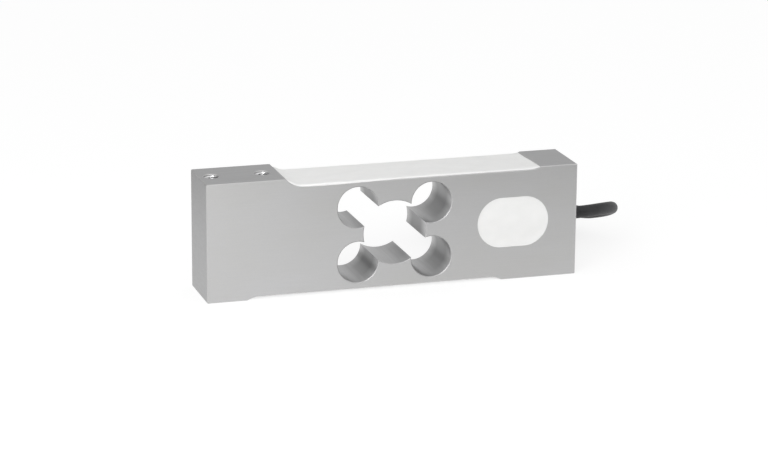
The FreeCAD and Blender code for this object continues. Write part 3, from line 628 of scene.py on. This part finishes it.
# ---------------------------------------------------------------- sealing compound
class FloorSection:
    """Line along one gauge floor, with the round up to each pad, by length along it."""

    def __init__(self, floor_z, up, left_edge, left_step, right_edge, right_step):
        self.floor_z, self.up = floor_z, up
        self.left_angle = math.acos(1 - left_step / CUTTER_RADIUS)
        self.right_angle = math.acos(1 - right_step / CUTTER_RADIUS)
        self.left_x = left_edge + CUTTER_RADIUS * math.sin(self.left_angle)
        self.right_x = right_edge - CUTTER_RADIUS * math.sin(self.right_angle)
        self.left_length = CUTTER_RADIUS * self.left_angle
        self.flat_length = self.right_x - self.left_x
        self.length = self.left_length + self.flat_length + CUTTER_RADIUS * self.right_angle

    def at(self, place):
        """Point on the metal and the direction out of it, in the XZ plane."""
        past_left = place - self.left_length
        if past_left < 0:
            angle, corner_x = past_left / CUTTER_RADIUS, self.left_x
        elif past_left <= self.flat_length:
            return Vector((self.left_x + past_left, 0, self.floor_z)), Vector((0, 0, self.up))
        else:
            angle, corner_x = (past_left - self.flat_length) / CUTTER_RADIUS, self.right_x
        rise = CUTTER_RADIUS * (1 - math.cos(angle))
        point = Vector((corner_x + CUTTER_RADIUS * math.sin(angle), 0,
                        self.floor_z + self.up * rise))
        return point, Vector((-math.sin(angle), 0, self.up * math.cos(angle)))


def coating_mesh(name, section, compound, left_bare, right_bare, overlap):
    """Brushed compound on one floor; left_bare and right_bare(share across) give the metal
    left bare at each end, and overlap(x) how far it runs down over the front edge."""
    half = BAR_HIGH.y - EDGE_CHAMFER - 0.02 * MM
    along = spaced(section.length, compound.end_round, 6, 130)
    rows = [(0.0, share) for share in (1.0, 0.75, 0.5, 0.25)]
    rows += [(y, 0.0) for y in spaced(2 * half, compound.side_round, 7, 26)]

    def round_over(distance, width):
        short = 1 - min(1.0, max(0.0, distance / width))
        return math.sqrt(1 - short * short)

    top, bottom = [], []
    bm = bmesh.new()
    for rank, (y, lip) in enumerate(rows):
        share = y / (2 * half)
        start, stop = left_bare(share), section.length - right_bare(share)
        top_row, bottom_row = [], []
        for i, place in enumerate(along):
            s = start + (stop - start) * place / section.length
            point, out = section.at(s)
            lap = overlap(point.x) * smooth_step((s - start) / (9 * MM) - 0.3)
            down = lap * lip
            point = point - out * down + Vector((0, y - half - min(down, EDGE_CHAMFER), 0))
            proud = (out - Vector((0, 1.3 * lip, 0))).normalized()
            inside = min(y + lap * (1 - lip), 2 * half - y)
            edge = (round_over(inside, compound.side_round)
                    * round_over(min(s - start, stop - s), compound.end_round))
            uneven = wave(s, y, 1.0 * MM, 9 * MM) + 0.5 * wave(s, y, 7.0 * MM, 3.5 * MM)
            thick = edge * (1 - 0.5 * lip) * (compound.thickness + compound.ripple * uneven)
            lower = bm.verts.new(point + proud * 0.005 * MM)
            on_edge = rank in (0, len(rows) - 1) or i in (0, len(along) - 1)
            top_row.append(lower if on_edge else bm.verts.new(point + proud * thick))
            bottom_row.append(lower)
        top.append(top_row)
        bottom.append(bottom_row)
    for sheet in (top, bottom):
        for row, next_row in zip(sheet, sheet[1:]):
            for i in range(len(row) - 1):
                corners = (row[i], row[i + 1], next_row[i + 1], next_row[i])
                bm.faces.new(list(dict.fromkeys(corners)))
    bmesh.ops.remove_doubles(bm, verts=bm.verts, dist=0.0005 * MM)
    return mesh_from(bm, name)


class LOADCELL_OT_coatings(bpy.types.Operator):
    """Brush the sealing compound over both gauge floors"""
    bl_idname = "load_cell.coatings"
    bl_label = "Gauge Coatings"

    def execute(self, context):
        compound = context.scene.load_cell_compound
        top = FloorSection(TOP_FLOOR_Z, 1, LOAD_PAD_END, BAR_HIGH.z - TOP_FLOOR_Z,
                           FIXED_PAD_START, FIXED_PAD_Z - TOP_FLOOR_Z)
        base = FloorSection(BASE_FLOOR_Z, -1, LOAD_FOOT_END, BASE_FLOOR_Z,
                            FIXED_FOOT_START, BASE_FLOOR_Z)

        def left_bare(share):
            return (0.1 + 1.5 * share + 0.2 * wave(share, 0.3, 0.0, 0.4)) * MM

        def right_bare(share):
            return (0.05 + 0.9 * share + 0.2 * wave(share, 0.7, 0.0, 0.4)) * MM

        def base_bare(share):
            return (0.5 + 0.3 * wave(share, 0.1, 0.0, 0.4)) * MM

        def top_overlap(x):
            return compound.overlap * (1 - smooth_step((x + 28 * MM) / (32 * MM)))

        def base_overlap(x):
            return 0.0

        rows = (("top", top, left_bare, right_bare, top_overlap),
                ("base", base, base_bare, base_bare, base_overlap))
        for side, section, left, right, overlap in rows:
            name = side + "_compound"
            mesh = coating_mesh(name, section, compound, left, right, overlap)
            add_object(name, mesh, "white_compound", [side + "_coating"])
        return {"FINISHED"}


def potting_mesh(name, compound):
    """Compound that fills the wiring pocket, drawn down a little inside its rim."""
    low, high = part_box("pocket_potting")
    radius = (POCKET_HIGH_Z - POCKET_LOW_Z) / 2
    centre = Vector(((low.x + high.x) / 2, low.y, (POCKET_HIGH_Z + POCKET_LOW_Z) / 2))
    straight = (high.x - low.x) / 2 - radius
    sides = 160
    insets = [0.0, 0.08, 0.2, 0.4, 0.7, 1.1, 1.6, 2.3, 3.2, 4.3, 5.5, 6.8, 8.1, 9.3, 10.0]

    def outline(inset):
        points = []
        for k in range(sides):
            angle = 2 * math.pi * (k + 0.5) / sides
            side = straight if math.cos(angle) > 0 else -straight
            points.append((side + (radius - inset) * math.cos(angle),
                           (radius - inset) * math.sin(angle)))
        return points

    rings = [[Vector((centre.x + x, high.y, centre.z + z)) for x, z in outline(0.01 * MM)]]
    for inset in insets:
        inset *= MM
        sunk = compound.meniscus * (1 - math.exp(-inset / (0.9 * MM)))
        ring = []
        for x, z in outline(max(inset, 0.01 * MM)):
            uneven = compound.ripple * (wave(x, z, 3.0, 8 * MM) + 0.5 * wave(x, z, 5.0, 3.2 * MM))
            uneven *= min(1.0, inset / (1.0 * MM))
            ring.append(Vector((centre.x + x, centre.y + sunk + 0.5 * uneven, centre.z + z)))
        rings.append(ring)
    return skin(name, rings)


class LOADCELL_OT_potting(bpy.types.Operator):
    """Pour the compound into the wiring pocket"""
    bl_idname = "load_cell.potting"
    bl_label = "Pocket Potting"

    def execute(self, context):
        compound = context.scene.load_cell_compound
        add_object("pocket_compound", potting_mesh("pocket_compound", compound), "white_compound",
                   ["pocket_potting"])
        return {"FINISHED"}


# ---------------------------------------------------------------- parts under the compound
class LOADCELL_OT_gauges(bpy.types.Operator):
    """Finish the strain gauges, terminal strips, solder and leads"""
    bl_idname = "load_cell.gauges"
    bl_label = "Strain Gauges"

    def execute(self, context):
        finish_nodes([name for name in NODES if name.startswith(("gauge_", "terminal_"))])
        return {"FINISHED"}


class LOADCELL_OT_board(bpy.types.Operator):
    """Finish the compensation board, its resistors, cores and bore seal"""
    bl_idname = "load_cell.board"
    bl_label = "Compensation Board"

    def execute(self, context):
        starts = ("compensation_", "board_", "span_", "zero_", "modulus_", "cable_core_",
                  "cable_drain", "bore_")
        finish_nodes([name for name in NODES if name.startswith(starts)])
        return {"FINISHED"}


# ---------------------------------------------------------------- cable, tie and stripped end
def coil_lane(turned):
    """Radius and height of the winding, turned degrees after its entry."""
    radius, height = COIL_LANES[0]
    for change, (next_radius, next_height) in zip(LANE_CHANGES, COIL_LANES[1:]):
        share = smooth_step((turned - change) / LANE_CHANGE_LENGTH)
        radius += (next_radius - radius) * share
        height += (next_height - height) * share
    aside = SLEEVE_ASIDE * smooth_step((turned - COIL_END + 75.0) / 50.0)
    return radius + aside, height + aside


def coil_place(turned, radius, height):
    """Point of the coil, which rests on its tie and tilts down to the floor opposite it."""
    angle = math.radians(COIL_ENTRY + turned)
    away = (1 - math.cos(angle - math.radians(TIE_ANGLE))) / 2
    settled = COIL_SETTLE * away * smooth_step(turned / 90.0)
    offset = Vector((radius * math.cos(angle), radius * math.sin(angle), height - settled))
    return COIL_CENTRE + offset


def coil_route():
    """The coil's turns as points of the cable's own spline."""
    outside = 1 / math.cos(math.radians(COIL_STEP / 2))
    points = []
    turned = COIL_STEP / 2
    while turned < COIL_END:
        radius, height = coil_lane(turned)
        points.append(coil_place(turned, radius * outside, height))
        turned += COIL_STEP
    radius, height = coil_lane(COIL_END)
    points.append(coil_place(COIL_END, radius, height))
    return points


def strands(radius):
    """Section of a twisted bundle of seven strands, for sweep."""
    def section(share, angle):
        ridge = abs(math.cos(3.5 * (angle + 14 * share)))
        taper = 1 - 0.25 * smooth_step((share - 0.93) / 0.07)
        return radius * MM * (0.8 + 0.2 * ridge) * taper
    return section


def tie_strap_mesh(cable, outward, along, inner):
    """Strap round the turns, whose inside lies inner from the turns' axes."""
    up = Vector((0, 0, 1))
    half_width, thick = cable.tie_width / 2, cable.tie_thickness
    corners = [(OUTER_TURN, LAYERS[0], -90), (OUTER_TURN, LAYERS[2], 0),
               (INNER_TURN, LAYERS[2], 90), (INNER_TURN, LAYERS[0], 180)]
    profile = [(0.0, -half_width), (0.0, half_width), (thick - STRAP_BEVEL, half_width),
               (thick, half_width - STRAP_BEVEL), (thick, -half_width + STRAP_BEVEL),
               (thick - STRAP_BEVEL, -half_width)]
    rings = []
    for radius, height, start in corners:
        for i in range(10):
            turn = math.radians(start + 90 * i / 9)
            rings.append([COIL_CENTRE + outward * (radius + (inner + out) * math.cos(turn))
                          + up * (height + (inner + out) * math.sin(turn)) + along * sideways
                          for out, sideways in profile])
    return skin("tie_strap", rings, smooth=False, closed=True)


def tie_head_mesh(place):
    """Locking head with the strap's slot sunk in both ends."""
    bm = bmesh.new()
    bmesh.ops.create_cube(bm, size=1.0, matrix=Matrix.Translation((0, 0, HEAD_SIZE[2] / 2))
                          @ Matrix.Diagonal((*HEAD_SIZE, 1)))
    bmesh.ops.bevel(bm, geom=bm.edges[:], offset=HEAD_ROUND, segments=3, affect="EDGES")
    for direction in (-1, 1):
        ends = [face for face in bm.faces if face.normal.x * direction > 0.99]
        slot = max(ends, key=lambda face: face.calc_area())
        bmesh.ops.inset_region(bm, faces=[slot], thickness=SLOT_RIM)
        bmesh.ops.translate(bm, verts=slot.verts, vec=(-direction * SLOT_DEPTH, 0, 0))
    bm.transform(place)
    return mesh_from(bm, "tie_head", smooth=False)


def tie_tail_mesh(cable, place):
    """Toothed end of the strap that sticks out of the head and curls up."""
    half, thick = cable.tie_width / 2 * 0.92, cable.tie_thickness
    stations = [Vector((1.6 * MM, 0, TAIL_HEIGHT * MM))]
    for i in range(TAIL_TEETH + 1):
        stations.append(Vector((2.4 * MM + TOOTH_PITCH * i, 0,
                                (TAIL_HEIGHT + TAIL_RISE * i * i) * MM)))
    rings = []
    for i, station in enumerate(stations):
        top = thick / 2 + (TOOTH_HEIGHT if i % 2 else 0.0)
        rings.append([station + Vector((0, y, z)) for y, z in (
            (-half, -thick / 2), (half, -thick / 2), (half, thick / 2), (half * 0.7, top),
            (-half * 0.7, top), (-half, thick / 2))])
    return skin("tie_tail", rings, smooth=False, place=place)


class LOADCELL_OT_cable(bpy.types.Operator):
    """Run the cable from its bore to the coil, with its tie and stripped end"""
    bl_idname = "load_cell.cable"
    bl_label = "Cable"

    def execute(self, context):
        cable = context.scene.load_cell_cable
        route = [Vector(point) for point in FREE_RUN] + coil_route()
        jacket = add_object("cable", smooth_curve("cable", route, CABLE_RADIUS),
                            "black_jacket", ["cable_run", "cable_coil"])
        on_cable = self.tie(cable) + self.stripped_end(cable, route)
        return {"FINISHED"}

    def tie(self, cable):
        """Strap round the turns, its locking head and the cut tail."""
        angle = math.radians(TIE_ANGLE)
        outward = Vector((math.cos(angle), math.sin(angle), 0))
        along = Vector((-math.sin(angle), math.cos(angle), 0))
        inner = CABLE_RADIUS + TIE_CLEARANCE
        seat = (COIL_CENTRE + outward * ((INNER_TURN + OUTER_TURN) / 2)
                + Vector((0, 0, LAYERS[2] + inner)))
        place = Matrix.Translation(seat) @ Matrix.Rotation(angle, 4, "Z")
        strap = tie_strap_mesh(cable, outward, along, inner)
        return [add_object("tie_strap", strap, "tie_nylon", ["coil_tie"]),
                add_object("tie_head", tie_head_mesh(place), "tie_nylon"),
                add_object("tie_tail", tie_tail_mesh(cable, place), "tie_nylon")]

    def stripped_end(self, cable, route):
        """Shrink sleeve over the jacket's end, and the cores and drain wire that leave it."""
        end = curve_line(route)
        covered, reach = [end[-1]], 0.0
        for point, before in zip(end[-2::-1], end[:0:-1]):
            reach += (point - before).length
            covered.insert(0, point)
            if reach > cable.sleeve_length:
                break
        ahead = (covered[-1] - covered[-2]).normalized()
        covered += [covered[-1] + ahead * step * MM for step in (0.5, 1.0, 1.5, 2.0, 2.3)]

        def sleeve(share, angle):
            shrunk = smooth_step((share - 0.62) / 0.3)
            lip = SLEEVE_LIP * (1 - smooth_step(share / 0.05))
            folds = SLEEVE_FOLD * shrunk * math.sin(3 * angle + 9 * share)
            return SLEEVE_RADIUS - lip - SLEEVE_SHRINK * shrunk + folds

        pieces = [add_object("shrink_sleeve", sweep("shrink_sleeve", covered, sleeve, 40),
                             "shrink_sleeve", ["end_sleeve"])]
        for name, wire in END_WIRES.items():
            pieces += self.wire(name, wire, cable)
        return pieces

    def wire(self, name, wire, cable):
        """One insulated core with its tinned tip, or the bare drain wire."""
        side_out, side_up, aside, lift, length, radius = wire
        start = COIL_END - 3.0
        sweep_angle = math.degrees(length * MM / SLEEVE_TURN)
        points = []
        for share in (0.0, 0.12, 0.3, 0.5, 0.7, 0.86, 1.0):
            settle = smooth_step(share * 1.25)
            sway = 0.22 * math.sin(2 * math.pi * share + 2.2 * side_out + side_up) * share
            out = side_out * CORE_SPREAD * (1 - settle) + aside * settle + sway
            low = LAYERS[1] + CABLE_RADIUS + (radius + lift + 0.12) * MM
            high = LAYERS[2] + SLEEVE_ASIDE + side_up * CORE_SPREAD * MM
            points.append(coil_place(start + 9.5 + (sweep_angle - 2.0) * share if share else start,
                                     SLEEVE_TURN + out * MM, high + (low - high) * settle))
        line = curve_line(points, steps=12)
        if name == "drain":
            return [add_object("end_drain_wire", sweep("end_drain_wire", line, strands(radius), 28),
                               "tinned_wire", ["end_drain"])]
        bare, reach = [line[-1]], 0.0
        while reach < cable.tinned_length:
            line.pop()
            reach += (line[-1] - bare[0]).length
            bare.insert(0, line[-1])
        inside = bare[0] - (bare[1] - bare[0]).normalized() * 0.6 * MM
        title = "end_wire_" + name
        covering = sweep(title, line, lambda share, angle: radius * MM, 20)
        tip = sweep(title + "_tip", [inside] + bare, strands(0.36), 28)
        return [add_object(title, covering, name + "_insulation", ["end_core_" + name]),
                add_object(title + "_tip", tip, "tinned_wire")]


# ---------------------------------------------------------------- stage
def empty_tree(block):
    """Empties a material's or a world's nodes; returns the tree, its new and its link."""
    block.use_nodes = True
    tree = block.node_tree
    tree.nodes.clear()
    return tree, tree.nodes.new, tree.links.new


def floor_material(stage):
    """White floor that keeps the soft shadow of what stands on it."""
    material = bpy.data.materials.new("floor_white")
    tree, add, link = empty_tree(material)
    output = add("ShaderNodeOutputMaterial")
    pick = add("ShaderNodeMixShader")
    bounce = add("ShaderNodeBsdfDiffuse")
    bounce.inputs["Color"].default_value = (0.8, 0.8, 0.8, 1)
    seen = add("ShaderNodeAddShader")
    shadow = add("ShaderNodeBsdfDiffuse")
    share = 1.05 - stage.floor_glow
    shadow.inputs["Color"].default_value = (share, share, share, 1)
    white = add("ShaderNodeEmission")
    white.inputs["Strength"].default_value = stage.floor_glow
    link(shadow.outputs[0], seen.inputs[0])
    link(white.outputs[0], seen.inputs[1])
    link(bounce.outputs[0], pick.inputs[1])
    link(seen.outputs[0], pick.inputs[2])
    link(backdrop_rays(tree), pick.inputs[0])
    link(pick.outputs[0], output.inputs["Surface"])
    return material


def backdrop_rays(tree):
    """1 for camera, glossy and transmission rays, 0 for the rest."""
    path = tree.nodes.new("ShaderNodeLightPath")
    total = path.outputs["Is Camera Ray"]
    for name in ("Is Glossy Ray", "Is Transmission Ray"):
        either = tree.nodes.new("ShaderNodeMath")
        either.operation = "MAXIMUM"
        tree.links.new(total, either.inputs[0])
        tree.links.new(path.outputs[name], either.inputs[1])
        total = either.outputs[0]
    return total


def room_world(stage):
    """White room at eye level that turns grey higher up, under a bright ceiling."""
    world = bpy.data.worlds.new("studio_room")
    tree, add, link = empty_tree(world)
    output = add("ShaderNodeOutputWorld")
    pick = add("ShaderNodeMixShader")
    light = add("ShaderNodeBackground")
    light.inputs["Color"].default_value = (1, 1, 1, 1)
    light.inputs["Strength"].default_value = stage.world_light
    seen = add("ShaderNodeBackground")
    seen.inputs["Color"].default_value = (1, 1, 1, 1)
    direction = add("ShaderNodeTexCoord")
    split = add("ShaderNodeSeparateXYZ")
    total = add("ShaderNodeMath")
    link(direction.outputs["Generated"], split.inputs[0])
    bands = ((0.02, 0.45, 1.0, stage.ceiling_shade), (0.6, 0.95, 0.0, stage.overhead_light))
    for socket, band in zip(total.inputs, bands):
        height = add("ShaderNodeMapRange")
        height.interpolation_type = "SMOOTHSTEP"
        for name, value in zip(("From Min", "From Max", "To Min", "To Max"), band):
            height.inputs[name].default_value = value
        link(split.outputs["Z"], height.inputs["Value"])
        link(height.outputs["Result"], socket)
    link(total.outputs[0], seen.inputs["Strength"])
    link(light.outputs[0], pick.inputs[1])
    link(seen.outputs[0], pick.inputs[2])
    link(backdrop_rays(tree), pick.inputs[0])
    link(pick.outputs[0], output.inputs["Surface"])
    return world


def aim(holder, position, target):
    """Puts a lamp or card at a place, facing its target."""
    holder.location = position
    ahead = Vector(target) - Vector(position)
    holder.rotation_euler = ahead.to_track_quat("-Z", "Y").to_euler()


def add_lamp(name, position, target, wide, high, power):
    lamp = bpy.data.lights.new(name, "AREA")
    lamp.shape = "ELLIPSE"
    lamp.size, lamp.size_y = wide, high
    lamp.energy = power
    holder = bpy.data.objects.new(name, lamp)
    bpy.context.scene.collection.objects.link(holder)
    aim(holder, position, target)


def add_card(name, middle, target, wide, high, tone):
    """Grey card that only reflections see."""
    bm = bmesh.new()
    bmesh.ops.create_grid(bm, x_segments=1, y_segments=1, size=0.5)
    bmesh.ops.scale(bm, vec=(wide, high, 1), verts=bm.verts)
    card = bpy.data.objects.new(name, mesh_from(bm, name, smooth=False))
    bpy.context.scene.collection.objects.link(card)
    aim(card, middle, target)
    material = bpy.data.materials.new(name)
    _, add, link = empty_tree(material)
    grey = add("ShaderNodeEmission")
    grey.inputs["Color"].default_value = (tone, tone, tone, 1)
    link(grey.outputs[0], add("ShaderNodeOutputMaterial").inputs["Surface"])
    card.data.materials.append(material)
    card.visible_camera = card.visible_diffuse = card.visible_shadow = False
    card.visible_transmission = card.visible_volume_scatter = False


def add_camera(stage):
    azimuth, elevation = stage.azimuth, stage.elevation
    ahead = Vector((math.sin(azimuth) * math.cos(elevation),
                    math.cos(azimuth) * math.cos(elevation), -math.sin(elevation)))
    level = Vector((math.cos(azimuth), -math.sin(azimuth), 0))
    upright = level.cross(ahead)
    c, s = math.cos(stage.roll), math.sin(stage.roll)
    right, up = level * c + upright * s, upright * c - level * s
    camera = bpy.data.cameras.new("camera")
    camera.lens = stage.lens
    camera.sensor_width = 36.0
    camera.clip_start = 0.01
    holder = bpy.data.objects.new("camera", camera)
    bpy.context.scene.collection.objects.link(holder)
    place = Matrix((right, up, -ahead)).transposed().to_4x4()
    place.translation = Vector(stage.target) - ahead * stage.distance
    holder.matrix_world = place
    bpy.context.scene.camera = holder


class LOADCELL_OT_stage(bpy.types.Operator):
    """Set up the floor, the room's light, the lamps and the camera"""
    bl_idname = "load_cell.stage"
    bl_label = "Stage"

    def execute(self, context):
        stage = context.scene.load_cell_stage
        bm = bmesh.new()
        bmesh.ops.create_circle(bm, cap_ends=True, segments=96, radius=stage.floor_radius)
        mesh = bpy.data.meshes.new("floor")
        bm.to_mesh(mesh)
        bm.free()
        floor = bpy.data.objects.new("floor", mesh)
        floor.location.z = -0.02 * MM
        context.scene.collection.objects.link(floor)
        mesh.materials.append(floor_material(stage))
        context.scene.world = room_world(stage)
        add_lamp("key_lamp", (-0.26, -0.36, 0.28), (-0.02, 0, 0.03), 0.3, 0.3, stage.key_power)
        add_lamp("fill_lamp", (1.0, -0.6, 0.7), (0, 0, 0.02), 0.8, 0.8, stage.fill_power)
        add_lamp("low_lamp", (0.0, -0.29, 0.022), (-0.03, 0, 0.01), 0.3, 0.04, stage.low_power)
        add_card("front_card", (0.24, -0.24, 0.12), (0.24, 0, 0.12), 0.5, 0.24, stage.card_tone)
        add_card("side_card", (-0.21, 0.15, 0.04), (-0.05, 0, 0.04), 0.3, 0.08, stage.card_tone)
        add_camera(stage)
        context.scene.view_settings.view_transform = "Standard"
        return {"FINISHED"}


# ---------------------------------------------------------------- sidebar and registration
OPERATORS = (
    LOADCELL_OT_bar, LOADCELL_OT_threads, LOADCELL_OT_gauges, LOADCELL_OT_board,
    LOADCELL_OT_coatings, LOADCELL_OT_potting, LOADCELL_OT_cable, LOADCELL_OT_stage,
)
SETTINGS = {
    "load_cell_bar": BarSettings, "load_cell_compound": CompoundSettings,
    "load_cell_cable": CableSettings, "load_cell_stage": StageSettings,
}


class LOADCELL_PT_panel(bpy.types.Panel):
    """Lists the load cell's pieces and their settings"""
    bl_idname = "LOADCELL_PT_panel"
    bl_label = "Load Cell"
    bl_space_type = "VIEW_3D"
    bl_region_type = "UI"
    bl_category = "Load Cell"

    def draw(self, context):
        for operator in OPERATORS:
            self.layout.operator(operator.bl_idname)
        for holder, settings in SETTINGS.items():
            box = self.layout.box()
            for name in settings.__annotations__:
                box.prop(getattr(context.scene, holder), name)


def register():
    for settings in SETTINGS.values():
        bpy.utils.register_class(settings)
    for holder, settings in SETTINGS.items():
        setattr(bpy.types.Scene, holder, bpy.props.PointerProperty(type=settings))
    for operator in OPERATORS:
        bpy.utils.register_class(operator)
    bpy.utils.register_class(LOADCELL_PT_panel)


def unregister():
    bpy.utils.unregister_class(LOADCELL_PT_panel)
    for operator in reversed(OPERATORS):
        bpy.utils.unregister_class(operator)
    for holder, settings in SETTINGS.items():
        delattr(bpy.types.Scene, holder)
        bpy.utils.unregister_class(settings)


def main():
    register()
    clear_imported_materials()
    for operator in OPERATORS:
        category, name = operator.bl_idname.split(".")
        getattr(getattr(bpy.ops, category), name)()


if __name__ == "__main__":
    main()
